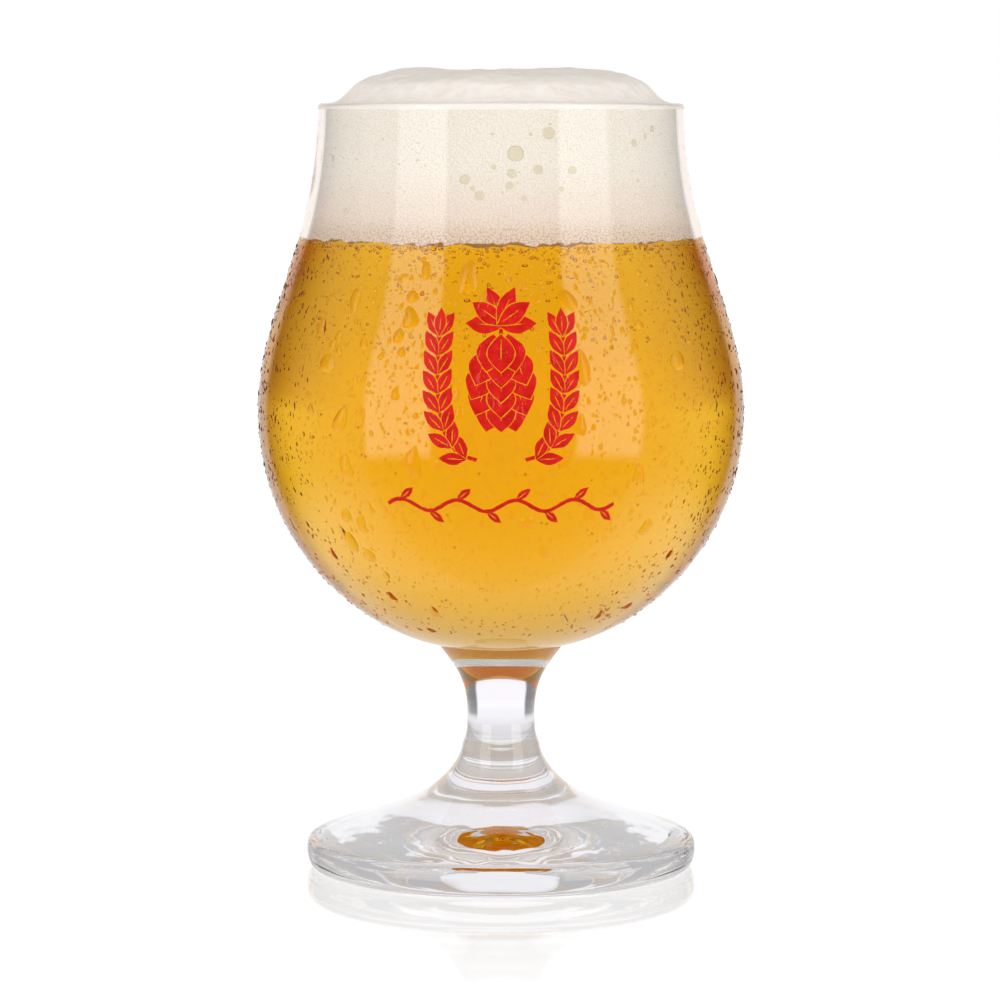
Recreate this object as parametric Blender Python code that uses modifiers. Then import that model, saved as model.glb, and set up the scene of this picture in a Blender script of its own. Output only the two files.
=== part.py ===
"""Tulip beer glass, filled: foot, stem, bowl, beer, foam head and a red print on the bowl.

Metres, +Z up. The origin is the centre of the ring that the foot stands on, and the print faces -Y.
"""

import math

import bmesh
import bpy
import numpy as np
from mathutils import Vector
from mathutils.geometry import delaunay_2d_cdt, interpolate_bezier

# Foot: heights are above the table
FOOT_RADIUS = 0.0361
FOOT_HEIGHT = 0.0229
FOOT_EDGE_TOP = 0.0060
FOOT_EDGE_WIDEST = 0.0034
FOOT_EDGE_ROUND = 0.0017
FOOT_SLOPE = math.radians(20)
FOOT_SPREAD = 0.0139
FOOT_RING_WIDTH = 0.0045
FOOT_HOLLOW = 0.0035

# Stem: from the seam on the foot to the knuckle under the bowl
STEM_LENGTH = 0.0185
STEM_WAIST_RADIUS = 0.0062
STEM_WAIST_RISE = 0.0050
STEM_WAIST_RUN = 0.0071
STEM_ROOT_RUN = 0.0152
KNUCKLE_RADIUS = 0.0117
KNUCKLE_FLARE = 0.0052
KNUCKLE_ANGLE = math.radians(53)

# Bowl: heights are above the knuckle
BOWL_HEIGHT = 0.0996
RIM_RADIUS = 0.0335
RIM_WALL = 0.0013
BELLY_RADIUS = 0.0448
BELLY_RISE = 0.0433
BELLY_WALL = 0.0016
NECK_RUN = 0.0255
SHOULDER_RUN = 0.0185
UNDERSIDE_RUN = 0.0268
TOE_RUN = 0.0124
TOE_ANGLE = math.radians(9)
FLOOR_THICKNESS = 0.0026
FLOOR_RUN = 0.0220

# Drink: the foam reaches this far below and above the rim
FOAM_DEPTH = 0.0250
FOAM_CROWN_RISE = 0.0069
FOAM_SHOULDER_RISE = 0.0038
FOAM_SHOULDER_RADIUS = 0.0270
FOAM_SHOULDER_SLOPE = math.radians(50)
FOAM_SHOULDER_RUN = 0.0025
FOAM_SKIRT_RUN = 0.0026
FOAM_TOP_RUN = 0.0180

# Print: sizes along the bowl's surface, the height is above the belly
PRINT_RISE = 0.0078
PRINT_THICKNESS = 0.00025
PRINT_SPACE = 0.0011
HOP_LENGTH = 0.0170
HOP_BRACT_LENGTH = 0.0066
HOP_BRACT_WIDTH = 0.0050
HOP_BRACT_STEP = 0.0026
HOP_BRACT_LEAN = math.radians(24)
HOP_STALK_LENGTH = 0.0046
HOP_LEAF_LENGTH = 0.0074
HOP_LEAF_WIDTH = 0.0032
HOP_LEAF_ANGLE = math.radians(58)
HOP_LOBE_ANGLE = math.radians(30)
EAR_LENGTH = 0.0230
EAR_GRAINS = 8
GRAIN_LENGTH = 0.0050
GRAIN_WIDTH = 0.0022
GRAIN_ANGLE = math.radians(32)
STALK_WIDTH = 0.0007
VINE_LENGTH = 0.0430
VINE_WAVES = 4
VINE_RISE = 0.0010
VINE_SPACE = 0.0006
VINE_LEAF_LENGTH = 0.0034
VINE_LEAF_WIDTH = 0.0014
VINE_LEAF_ANGLE = math.radians(38)

# Fits
SEAM_GAP = 0.0003
CONTENT_GAP = 0.0003
PRINT_GAP = 0.0003

# Facets
ROUND_STEPS = 48
CURVE_POINTS = 8
FLARE_POINTS = 12
EDGE_POINTS = 4
RIM_POINTS = 5
LEAF_POINTS = 5
BOW_POINTS = 32
WAVE_POINTS = 8
PRINT_MESH_SIZE = 0.0040
MERGE_DISTANCE = 0.00001

# Heights above the table that follow from the sizes above
WAIST_Z = FOOT_HEIGHT + STEM_WAIST_RISE
KNUCKLE_Z = FOOT_HEIGHT + STEM_LENGTH
BELLY_Z = KNUCKLE_Z + BELLY_RISE
RIM_Z = KNUCKLE_Z + BOWL_HEIGHT
FLOOR_Z = KNUCKLE_Z + FLOOR_THICKNESS
BEER_Z = RIM_Z - FOAM_DEPTH


def new_collection(name):
    collection = bpy.data.collections.new(name)
    bpy.context.scene.collection.children.link(collection)
    return collection


def new_material(name, colour, roughness, transmission=0.0, ior=1.5):
    material = bpy.data.materials.new(name)
    material.use_nodes = True
    shader = material.node_tree.nodes["Principled BSDF"]
    shader.inputs["Base Color"].default_value = (*colour, 1.0)
    shader.inputs["Roughness"].default_value = roughness
    shader.inputs["Metallic"].default_value = 0.0
    shader.inputs["Transmission Weight"].default_value = transmission
    shader.inputs["IOR"].default_value = ior
    return material


def polar(length, angle):
    return np.array((length * math.cos(angle), length * math.sin(angle)))


# Turned outlines: lists of (radius, height), from the top down


def curve(start, start_handle, end_handle, end, points=CURVE_POINTS):
    """Points along one Bezier stretch of an outline."""
    knots = [Vector((*point, 0)) for point in (start, start_handle, end_handle, end)]
    return [(p.x, p.y) for p in interpolate_bezier(*knots, points)]


def joined(*stretches):
    """One outline from stretches that each start where the last one ended."""
    outline = list(stretches[0])
    for stretch in stretches[1:]:
        outline += stretch[1:]
    return outline


def bowl_wall(rim_radius, belly_radius):
    """The neck, shoulder and belly, as far down as the widest place."""
    return curve(
        (rim_radius, RIM_Z),
        (rim_radius, RIM_Z - NECK_RUN),
        (belly_radius, BELLY_Z + SHOULDER_RUN),
        (belly_radius, BELLY_Z),
    )


def outside():
    """The whole outside of the glass, from the rim to the ring that it stands on."""
    knuckle = np.array((KNUCKLE_RADIUS, KNUCKLE_Z))
    waist = (STEM_WAIST_RADIUS, WAIST_Z)
    edge = np.array((FOOT_RADIUS - FOOT_EDGE_ROUND, FOOT_EDGE_TOP))
    widest = (FOOT_RADIUS, FOOT_EDGE_WIDEST)
    ring = (FOOT_RADIUS - FOOT_EDGE_ROUND, 0)
    underside = curve(
        (BELLY_RADIUS, BELLY_Z),
        (BELLY_RADIUS, BELLY_Z - UNDERSIDE_RUN),
        knuckle + polar(TOE_RUN, TOE_ANGLE),
        knuckle,
    )
    stem = curve(
        knuckle,
        knuckle - polar(KNUCKLE_FLARE, KNUCKLE_ANGLE),
        (STEM_WAIST_RADIUS, WAIST_Z + STEM_WAIST_RUN),
        waist,
    )
    flare = curve(
        waist,
        (STEM_WAIST_RADIUS, WAIST_Z - STEM_ROOT_RUN),
        edge + polar(FOOT_SPREAD, math.pi - FOOT_SLOPE),
        edge,
        FLARE_POINTS,
    )
    brow = curve(
        edge,
        edge + polar(FOOT_EDGE_ROUND / 2, -FOOT_SLOPE),
        (FOOT_RADIUS, (FOOT_EDGE_TOP + FOOT_EDGE_WIDEST) / 2),
        widest,
        EDGE_POINTS,
    )
    sole = curve(
        widest,
        (FOOT_RADIUS, FOOT_EDGE_WIDEST / 2),
        (FOOT_RADIUS - FOOT_EDGE_ROUND / 2, 0),
        ring,
        EDGE_POINTS,
    )
    return joined(bowl_wall(RIM_RADIUS, BELLY_RADIUS), underside, stem, flare, brow, sole)


def inside():
    """The inside of the bowl, from the rim to the middle of its floor."""
    belly = BELLY_RADIUS - BELLY_WALL
    hollow = curve(
        (belly, BELLY_Z), (belly, BELLY_Z - UNDERSIDE_RUN), (FLOOR_RUN, FLOOR_Z), (0, FLOOR_Z)
    )
    return joined(bowl_wall(RIM_RADIUS - RIM_WALL, belly), hollow)


def radius_at(outline, z):
    radii, heights = np.array(outline).T
    return float(np.interp(z, heights[::-1], radii[::-1]))


def between(outline, top, bottom):
    """The stretch of a falling outline between two heights."""
    kept = [point for point in outline if bottom < point[1] < top]
    return [(radius_at(outline, top), top), *kept, (radius_at(outline, bottom), bottom)]


def moved_in(outline, gap):
    """An outline of the inside, moved into the drink by a gap square to the wall."""
    points = np.array(outline)
    along = np.gradient(points, axis=0)
    along[-1] = (-1, 0)
    along /= np.linalg.norm(along, axis=1)[:, None]
    inward = np.stack((along[:, 1], -along[:, 0]), axis=1)
    moved = points + gap * inward
    return [(max(radius, 0.0), height) for radius, height in moved]


def turned(name, outline, material, collection):
    """A solid of revolution. The outline runs from the axis, down the outer side and back to the axis."""
    mesh = bpy.data.meshes.new(name)
    points = [(radius, 0, height) for radius, height in outline]
    mesh.from_pydata(points, [(i, i + 1) for i in range(len(points) - 1)], [])
    mesh.materials.append(material)
    piece = bpy.data.objects.new(name, mesh)
    collection.objects.link(piece)
    turn = piece.modifiers.new("Turn", "SCREW")
    turn.axis = "Z"
    turn.steps = turn.render_steps = ROUND_STEPS
    turn.use_merge_vertices = True
    turn.merge_threshold = MERGE_DISTANCE
    turn.use_smooth_shade = True
    return piece


# The turned pieces


def make_bowl(material, collection):
    outer = between(outside(), RIM_Z, KNUCKLE_Z)
    inner = inside()
    lip_radius = RIM_WALL / 2
    lip_centre = (RIM_RADIUS - lip_radius, RIM_Z - lip_radius)
    lip = [lip_centre + polar(lip_radius, a) for a in np.linspace(math.pi, 0, RIM_POINTS)]
    below_lip = RIM_Z - lip_radius
    wall_in = [point for point in inner if point[1] < below_lip]
    wall_out = [point for point in outer if point[1] < below_lip]
    outline = [*reversed(wall_in), *map(tuple, lip), *wall_out, (0, KNUCKLE_Z)]
    return turned("bowl", outline, material, collection)


def make_stem(material, collection):
    side = between(outside(), KNUCKLE_Z - SEAM_GAP, FOOT_HEIGHT)
    outline = [(0, KNUCKLE_Z - SEAM_GAP), *side, (0, FOOT_HEIGHT)]
    return turned("stem", outline, material, collection)


def make_foot(material, collection):
    top = FOOT_HEIGHT - SEAM_GAP
    side = between(outside(), top, 0)
    ring_outer = FOOT_RADIUS - FOOT_EDGE_ROUND
    ring_inner = ring_outer - FOOT_RING_WIDTH
    middle = (0, FOOT_HOLLOW)
    hollow = curve((ring_inner, 0), (ring_inner / 2, FOOT_HOLLOW), middle, middle)
    return turned("foot", [(0, top), *side, *hollow], material, collection)


def make_beer(material, collection):
    side = between(moved_in(inside(), CONTENT_GAP), BEER_Z, FLOOR_Z + CONTENT_GAP)
    return turned("beer", [(0, BEER_Z), *side], material, collection)


def make_foam_head(material, collection):
    wall = moved_in(inside(), CONTENT_GAP)
    bottom = BEER_Z + CONTENT_GAP
    side = between(wall, RIM_Z, bottom)
    rim = side[0]
    shoulder = np.array((FOAM_SHOULDER_RADIUS, RIM_Z + FOAM_SHOULDER_RISE))
    crown = (0, RIM_Z + FOAM_CROWN_RISE)
    downhill = polar(FOAM_SHOULDER_RUN, -FOAM_SHOULDER_SLOPE)
    top = curve(crown, (FOAM_TOP_RUN, crown[1]), shoulder - downhill, shoulder)
    skirt = curve(shoulder, shoulder + downhill, (rim[0] - FOAM_SKIRT_RUN, rim[1]), rim, EDGE_POINTS)
    return turned("foam_head", [*joined(top, skirt, side), (0, bottom)], material, collection)


# The print: flat outlines of (across, up), joined to one sheet and wrapped on the bowl


def leaf(base, length, width, angle):
    """A pointed leaf that grows from its base at an angle."""
    base = np.array(base)
    along = polar(1, angle)
    across = np.array((-along[1], along[0]))
    share = np.linspace(0, 1, LEAF_POINTS + 2)
    half = width / 2 * np.sin(math.pi * share)
    edge = [base + along * length * s + across * h for s, h in zip(share, half)]
    back = [base + along * length * s - across * h for s, h in zip(share, half)]
    return edge + back[-2:0:-1]


def band(path, width):
    """A stroke of even width along a path."""
    path = np.array(path)
    along = np.gradient(path, axis=0)
    along /= np.linalg.norm(along, axis=1)[:, None]
    across = np.stack((-along[:, 1], along[:, 0]), axis=1) * width / 2
    return [*(path + across), *(path - across)[::-1]]


def even_steps(path, count):
    """Points at even distances along a path."""
    path = np.array(path)
    lengths = np.concatenate(([0], np.cumsum(np.linalg.norm(np.diff(path, axis=0), axis=1))))
    places = np.linspace(0, lengths[-1], count)
    return np.stack([np.interp(places, lengths, column) for column in path.T], axis=1)


def grain_reach():
    """How far a grain stands out from its stalk."""
    return GRAIN_LENGTH * math.sin(GRAIN_ANGLE) + GRAIN_WIDTH / 2


def hop_outlines():
    """A hop cone of lapped bracts under a stalk with two leaves."""
    outlines = []
    half = HOP_LENGTH / 2
    rows = round((HOP_LENGTH - HOP_BRACT_LENGTH) / HOP_BRACT_STEP) + 1
    for row in range(rows):
        height = half - (HOP_LENGTH - HOP_BRACT_LENGTH) * row / (rows - 1)
        swell = math.sin(math.pi * (row + 1) / (rows + 1))
        for side in (-1, 0, 1):
            base = (side * swell * HOP_BRACT_WIDTH / 2, height)
            lean = side * swell * HOP_BRACT_LEAN
            outlines.append(leaf(base, HOP_BRACT_LENGTH, HOP_BRACT_WIDTH, lean - math.pi / 2))
    foot = half - HOP_BRACT_LENGTH / 2
    outlines.append(band([(0, foot), (0, half + HOP_STALK_LENGTH)], STALK_WIDTH))
    for side in (-1, 1):
        for turn in (-HOP_LOBE_ANGLE, 0, HOP_LOBE_ANGLE):
            angle = math.pi / 2 - side * (HOP_LEAF_ANGLE + turn)
            base = (-side * STALK_WIDTH, half + HOP_STALK_LENGTH / 3)
            outlines.append(leaf(base, HOP_LEAF_LENGTH, HOP_LEAF_WIDTH, angle))
    return outlines


def hop_half_width():
    return max(abs(point[0]) for outline in hop_outlines() for point in outline)


def ear_root_height():
    return -HOP_LENGTH / 2 - PRINT_SPACE - grain_reach()


def ear_outlines(side):
    """A barley ear that bows up beside the hop cone, with grains in pairs along its stalk."""
    reach = grain_reach()
    clear = hop_half_width() + PRINT_SPACE + reach
    low = ear_root_height()
    high = low + EAR_LENGTH
    near = reach + PRINT_SPACE / 2
    bow = curve((near, low), (clear, low), (clear, low + EAR_LENGTH / 2), (clear, high), BOW_POINTS)
    path = even_steps(bow, EAR_GRAINS + 1) * (side, 1)
    outlines = [band(path, STALK_WIDTH)]
    steps = np.gradient(path, axis=0)
    for point, step in zip(path[1:], steps[1:]):
        heading = math.atan2(step[1], step[0])
        for turn in (-GRAIN_ANGLE, GRAIN_ANGLE):
            outlines.append(leaf(point - step / 2, GRAIN_LENGTH, GRAIN_WIDTH, heading + turn))
    outlines.append(leaf(path[-1] - steps[-1] / 2, GRAIN_LENGTH, GRAIN_WIDTH, heading))
    return outlines


def vine_outlines():
    """A waving vine under the barley ears, with a leaf at every crest and trough."""
    leaf_reach = VINE_LEAF_LENGTH * math.sin(VINE_LEAF_ANGLE) + VINE_LEAF_WIDTH / 2
    height = ear_root_height() - grain_reach() - VINE_SPACE - leaf_reach - VINE_RISE
    across = np.linspace(-VINE_LENGTH / 2, VINE_LENGTH / 2, VINE_WAVES * WAVE_POINTS + 1)
    phase = 2 * math.pi * VINE_WAVES * across / VINE_LENGTH
    path = np.stack((across, height + VINE_RISE * np.sin(phase)), axis=1)
    outlines = [band(path, STALK_WIDTH)]
    for index in range(WAVE_POINTS // 4, len(path), WAVE_POINTS // 2):
        turn = math.copysign(VINE_LEAF_ANGLE, path[index][1] - height)
        outlines.append(leaf(path[index], VINE_LEAF_LENGTH, VINE_LEAF_WIDTH, turn))
    return outlines


def printed(name, outlines, material, collection):
    """One thin enamel body in the joint outline of some overlapping shapes, bent round the bowl."""
    points = [Vector(point) for outline in outlines for point in outline]
    loops, count = [], 0
    for outline in outlines:
        loops.append(list(range(count, count + len(outline))))
        count += len(outline)
    across, up = np.array(points).T
    for x in np.arange(across.min(), across.max(), PRINT_MESH_SIZE):
        points += [Vector((x, y)) for y in np.arange(up.min(), up.max(), PRINT_MESH_SIZE)]
    sheet = delaunay_2d_cdt(points, [], loops, 1, MERGE_DISTANCE)
    shape = bmesh.new()
    corners = [shape.verts.new((*point, 0)) for point in sheet[0]]
    for face in sheet[2]:
        shape.faces.new([corners[i] for i in face])
    bmesh.ops.delete(shape, geom=[v for v in shape.verts if not v.link_faces], context="VERTS")
    raised = bmesh.ops.extrude_face_region(shape, geom=shape.faces[:], use_keep_orig=True)
    for item in raised["geom"]:
        if isinstance(item, bmesh.types.BMVert):
            item.co.z += PRINT_THICKNESS
    wall = outside()
    for corner in shape.verts:
        x, y, depth = corner.co
        height = BELLY_Z + PRINT_RISE + y
        radius = radius_at(wall, height) + PRINT_GAP + depth
        angle = x / BELLY_RADIUS - math.pi / 2
        corner.co = (*polar(radius, angle), height)
    bmesh.ops.recalc_face_normals(shape, faces=shape.faces[:])
    mesh = bpy.data.meshes.new(name)
    shape.to_mesh(mesh)
    shape.free()
    mesh.materials.append(material)
    piece = bpy.data.objects.new(name, mesh)
    collection.objects.link(piece)
    return piece


def main():
    for old in list(bpy.data.objects):
        bpy.data.objects.remove(old)
    parts = new_collection("tulip_beer_glass")
    clear = (0.95, 0.97, 0.97)
    make_bowl(new_material("bowl_glass", clear, 0.02, 1.0, 1.52), parts)
    make_stem(new_material("stem_glass", clear, 0.02, 1.0, 1.52), parts)
    make_foot(new_material("foot_glass", clear, 0.02, 1.0, 1.52), parts)
    make_beer(new_material("beer_amber", (0.86, 0.40, 0.03), 0.05, 0.9, 1.34), parts)
    make_foam_head(new_material("foam_cream", (0.87, 0.83, 0.76), 0.9), parts)
    red = (0.74, 0.012, 0.012)
    prints = {
        "print_hop": hop_outlines(),
        "print_barley_left": ear_outlines(-1),
        "print_barley_right": ear_outlines(1),
        "print_vine": vine_outlines(),
    }
    for name, outlines in prints.items():
        printed(name, outlines, new_material(f"{name}_enamel", red, 0.35), parts)


main()
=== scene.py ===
"""The looks of the tulip beer glass: fine glass, beer, foam, print, dew and bubbles round the frame."""

import math

import bmesh
import bpy
import numpy as np
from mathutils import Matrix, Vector, noise
from mathutils.geometry import delaunay_2d_cdt, interpolate_bezier


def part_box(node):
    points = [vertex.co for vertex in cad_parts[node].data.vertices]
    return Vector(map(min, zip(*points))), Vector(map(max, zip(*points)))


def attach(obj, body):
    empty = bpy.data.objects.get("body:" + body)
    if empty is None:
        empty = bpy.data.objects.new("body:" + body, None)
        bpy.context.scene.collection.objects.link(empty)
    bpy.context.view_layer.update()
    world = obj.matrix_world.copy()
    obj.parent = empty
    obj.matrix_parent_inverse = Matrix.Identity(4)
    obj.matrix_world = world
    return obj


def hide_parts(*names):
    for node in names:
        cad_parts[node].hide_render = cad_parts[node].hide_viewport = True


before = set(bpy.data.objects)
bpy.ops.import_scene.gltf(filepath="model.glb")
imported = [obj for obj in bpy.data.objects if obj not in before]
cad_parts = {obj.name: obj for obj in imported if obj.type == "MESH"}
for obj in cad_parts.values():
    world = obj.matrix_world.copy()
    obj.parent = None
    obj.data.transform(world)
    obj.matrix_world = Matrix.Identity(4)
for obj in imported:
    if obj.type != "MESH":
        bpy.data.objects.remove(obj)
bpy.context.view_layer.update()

# Sizes that the frame gives, in metres
BOWL_LOW, BOWL_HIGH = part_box("bowl")
FOAM_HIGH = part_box("foam_head")[1]
RIM_Z = BOWL_HIGH.z
KNUCKLE_Z = BOWL_LOW.z
SEAM_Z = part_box("stem")[0].z
BEER_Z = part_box("beer")[1].z
BELLY_RADIUS = BOWL_HIGH.x
FOOT_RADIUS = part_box("foot")[1].x
FOAM_CROWN_RISE = FOAM_HIGH.z - RIM_Z

# Sizes of the glass that its boxes don't show, as in the part's source
RIM_RADIUS = 0.0335
RIM_WALL = 0.0013
BELLY_Z = KNUCKLE_Z + 0.0433
BELLY_WALL = 0.0016
NECK_RUN = 0.0255
SHOULDER_RUN = 0.0185
UNDERSIDE_RUN = 0.0268
TOE_RUN = 0.0124
TOE_ANGLE = math.radians(9)
FLOOR_Z = KNUCKLE_Z + 0.0026
FLOOR_RUN = 0.0220
KNUCKLE_RADIUS = 0.0117
KNUCKLE_FLARE = 0.0052
KNUCKLE_ANGLE = math.radians(53)
WAIST_Z = SEAM_Z + 0.0050
WAIST_RADIUS = 0.0062
WAIST_RUN = 0.0071
ROOT_RUN = 0.0152
FOOT_SLOPE = math.radians(20)
FOOT_SPREAD = 0.0139
FOOT_EDGE_TOP = 0.0060
FOOT_EDGE_WIDEST = 0.0034
FOOT_EDGE_ROUND = 0.0017
FOOT_RING_WIDTH = 0.0045
FOOT_HOLLOW = 0.0035
FOAM_SHOULDER_RISE = 0.0038
FOAM_SHOULDER_RADIUS = 0.0270
FOAM_SHOULDER_SLOPE = math.radians(50)
FOAM_SHOULDER_RUN = 0.0025
FOAM_SKIRT_RUN = 0.0026
FOAM_TOP_RUN = 0.0180

# Small forms on the turned pieces
EDGE_FULLNESS = 0.60
SEAM_BEAD = 0.00022
SEAM_BEAD_WIDTH = 0.0009
RIPPLE = 0.00003
RIPPLE_LENGTH = 0.0021
FOAM_DIP = 0.0008
FOAM_HUMP_ACROSS = 0.0163
FOAM_HUMP_RADIUS = 0.0095
FOAM_LUMP = 0.0005
FOAM_LUMP_SIZE = 0.0090
FOAM_LUMP_NOISE = (0.9, 2.0, 4)
FOAM_CELL = 0.00042
FOAM_FRINGE = 0.00075
FOAM_FRINGE_SIZE = 0.0024

# Print: sizes along the bowl's surface, as in the part's source
PRINT_RISE = 0.0078
PRINT_SPACE = 0.0011
HOP_LENGTH = 0.0170
HOP_BRACT_LENGTH = 0.0066
HOP_BRACT_WIDTH = 0.0050
HOP_BRACT_STEP = 0.0026
HOP_BRACT_LEAN = math.radians(24)
HOP_STALK_LENGTH = 0.0046
HOP_LEAF_LENGTH = 0.0074
HOP_LEAF_WIDTH = 0.0032
HOP_LEAF_ANGLE = math.radians(58)
HOP_LOBE_ANGLE = math.radians(30)
EAR_LENGTH = 0.0230
EAR_GRAINS = 8
GRAIN_LENGTH = 0.0050
GRAIN_WIDTH = 0.0022
GRAIN_ANGLE = math.radians(32)
STALK_WIDTH = 0.0007
VINE_LENGTH = 0.0430
VINE_WAVES = 4
VINE_RISE = 0.0010
VINE_SPACE = 0.0006
VINE_LEAF_LENGTH = 0.0034
VINE_LEAF_WIDTH = 0.0014
VINE_LEAF_ANGLE = math.radians(38)
ENAMEL = 0.00003
PRINT_LINE = 0.00016
PRINT_ROUGHNESS = 0.00003
# A leaf's bare vein: where it starts and how long it is, as shares of the leaf
VEIN_START = 0.12
VEIN_SHARE = 0.6

# Thin fits between the fine surfaces
DROP_DEPTH = 0.00005
BEER_GAP = 0.00004
FOAM_GAP = 0.00015

# Bubbles in the foam that lean on the wall
FOAM_BUBBLES = 90
FOAM_BUBBLE_SMALLEST = 0.00015
FOAM_BUBBLE_LARGEST = 0.0009
FOAM_BUBBLE_PROUD = 0.00006
FOAM_BUBBLE_CROWDING = 3
FOAM_BUBBLE_MARGIN = 4 * FOAM_BUBBLE_LARGEST
# The largest of them, in front: distance across, depth below the rim and half width
FOAM_FRONT_BUBBLES = (
    (0.0026, 0.0089, 0.00145),
    (0.0087, 0.0052, 0.00110),
    (0.0066, 0.0117, 0.00085),
    (0.0019, 0.0123, 0.00085),
    (-0.0064, 0.0134, 0.00090),
    (-0.0037, 0.0162, 0.00085),
    (0.0015, 0.0145, 0.00070),
    (-0.0013, 0.0112, 0.00048),
    (-0.0050, 0.0150, 0.00045),
    (0.0107, 0.0151, 0.00050),
    (0.0039, 0.0167, 0.00050),
)

# Dew: sorts of drops as name, count, smallest and largest half width, highest place, segments and rings
DROP_SORTS = (
    ("dew_drops", 150, (0.00075, 0.00190), BEER_Z - 0.004, 20, 6),
    ("dew_runs", 900, (0.00020, 0.00056), BEER_Z, 14, 5),
    ("dew_beads", 2600, (0.00017, 0.00044), BEER_Z, 9, 3),
    ("dew_mist", 5000, (0.00007, 0.00016), RIM_Z, 6, 2),
)
DEW_LOW = KNUCKLE_Z + 0.004
DEW_HIGH = RIM_Z - 0.003
# Share of the dew: at the sides, more or less of it in front and behind, on the neck, and at the stem
DEW_ASIDE = 0.62
DEW_SWING = 0.38
DEW_ON_NECK = 0.25
DEW_AT_STEM = 0.40
DEW_FADE = 1.5
# Drops from these half widths on stay in front: largest sine of the angle to the right
SMALL_DROP = 0.00013
DROP_FRONT = 0.0
LARGE_DROP = 0.00042
LARGE_DROP_FRONT = -0.60
# Form of a drop, as shares of its half width or length
DROP_LENGTH = 1.1
DROP_STRETCH = 1.1
DROP_TILT = math.radians(12)
DROP_UNEVEN = 0.20
DROP_WAVES = (2, 3, 4)
DROP_TAPER = 0.22
DROP_SAG = 0.18
DROP_RISE = (0.28, 0.44)
DROP_FLATNESS = 2.2
DROP_SPACING = 1.1
PLACE_TRIES = 20
# Chance shares are raised to this power, so that small ones are the most frequent
CROWDING = 2

# Bubbles in the beer: sorts as count, sizes, depths below the foam line and distances from the wall
BUBBLE_SORTS = (
    (760, (0.00014, 0.00034), (0.0, 0.0007), (0.0001, 0.0008)),
    (860, (0.00016, 0.00042), (0.0004, 0.0180), (0.0010, 0.0040)),
    (420, (0.00010, 0.00028), (0.0100, 0.0700), (0.0012, 0.0100)),
)
BUBBLE_CROWDING = 1.6

# Behind the drink its lens draws small things out to streaks: least and most share of the radius aside
STREAK_BAND = (0.24, 0.56)

# Light in glass, water and beer
GLASS_IOR = 1.52
WATER_IOR = 1.333
BEER_IOR = 1.345

# Glass: tones, waves, smears and its ground lip
GLASS_TONE = (0.985, 0.992, 0.988, 1.0)
GLASS_SHADE = 0.97
GLASS_WAVE_SCALE = 60.0
GLASS_WAVE = 0.00006
PRESSED_WAVE_SCALE = 130.0
PRESSED_WAVE = 0.00016
SMEAR_SCALE = 140.0
SMEAR_DETAIL = 3.0
SMEAR_BLEND = (0.45, 0.75)
SMEAR_ROUGHNESS = 0.02
LIP_ROUGHNESS = 0.25
LIP_CLEAR = 0.4
LIP_TONE = (0.93, 0.89, 0.85, 1.0)
LIP_APRON = 0.0004

# Drink, dew and gas: what the beer lets through; warm tints painted on dew and gas in place of the beer's
# light in them; and a painted brown glow for light mirrored inside a drop
BEER_TONE = (0.966, 0.815, 0.0, 1.0)
BEER_DENSITY = 66.0
DEW_PAINTED_WARMTH = (1.0, 0.86, 0.60, 1.0)
PAINTED_DRINK_GLOW = (0.34, 0.14, 0.02, 1.0)
DEW_WAVE_SCALE = 900.0
DEW_WAVE = 0.00004
GAS_PAINTED_WARMTH = (1.0, 0.90, 0.62, 1.0)

# Foam: heights where one look gives way to the next
CROWN_BLEND = (RIM_Z - 0.001, RIM_Z + 0.001)
DAMP_BLEND = (BEER_Z + 0.0150, BEER_Z + 0.0030)
WET_BLEND = (BEER_Z + 0.0055, BEER_Z + 0.0002)
BROWN_BLEND = (BEER_Z - 0.0007, BEER_Z - 0.0010)
BROWN_WAVE = 0.0022
BROWN_WAVE_DETAIL = 2.0
CELL_RANDOMNESS = 0.85
WRINKLE_SCALE = 420.0
WRINKLE_DETAIL = 5.0
WRINKLE_HEIGHT = 4.0
FOAM_BUMP = 0.00015
FOAM_BUMP_STRENGTH = 0.9
FOAM_ROUGHNESS = 0.7
# Its tones, from the middle of a cell to its edge, or over the wrinkles of the crown
WALL_TONES = ((0.1, (0.985, 0.900, 0.795, 1)), (0.6, (0.868, 0.775, 0.665, 1)))
DAMP_TONES = ((0.1, (0.930, 0.77, 0.65, 1)), (0.6, (0.825, 0.665, 0.54, 1)))
WET_TONES = ((0.05, (0.88, 0.71, 0.57, 1)), (0.30, (0.77, 0.58, 0.43, 1)), (0.65, (0.60, 0.41, 0.28, 1)))
CROWN_TONES = ((0.35, (0.850, 0.781, 0.712, 1)), (0.65, (0.905, 0.840, 0.775, 1)))
BROWN_TONE = (0.34, 0.15, 0.03, 1)
# The foam's underside: a near-white painted light, brighter than the wet foam above it
UNDERSIDE_PAINTED_LIGHT = ((0.98, 0.95, 0.90, 1), (0.90, 0.84, 0.76, 1))
# Bubble windows: a darker tone painted as the shade inside the foam behind them
WINDOW_SHADE_TONES = ((0.0, (0.69, 0.585, 0.40, 1)), (1.0, (0.80, 0.71, 0.525, 1)))
WINDOW_SCALE = 1500.0
WINDOW_DETAIL = 2.0
WINDOW_ROUGHNESS = 0.35

# Enamel: tones of its thin and thick patches
ENAMEL_TONES = ((0.35, (0.52, 0.003, 0.001, 1)), (0.65, (0.66, 0.008, 0.003, 1)))
ENAMEL_SCALE = 700.0
ENAMEL_DETAIL = 4.0
ENAMEL_BLEND = (0.3, 0.7)
ENAMEL_ROUGHNESS = (0.30, 0.45)
ENAMEL_GLOSS = 0.3
ENAMEL_BUMP_STRENGTH = 0.5

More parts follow.
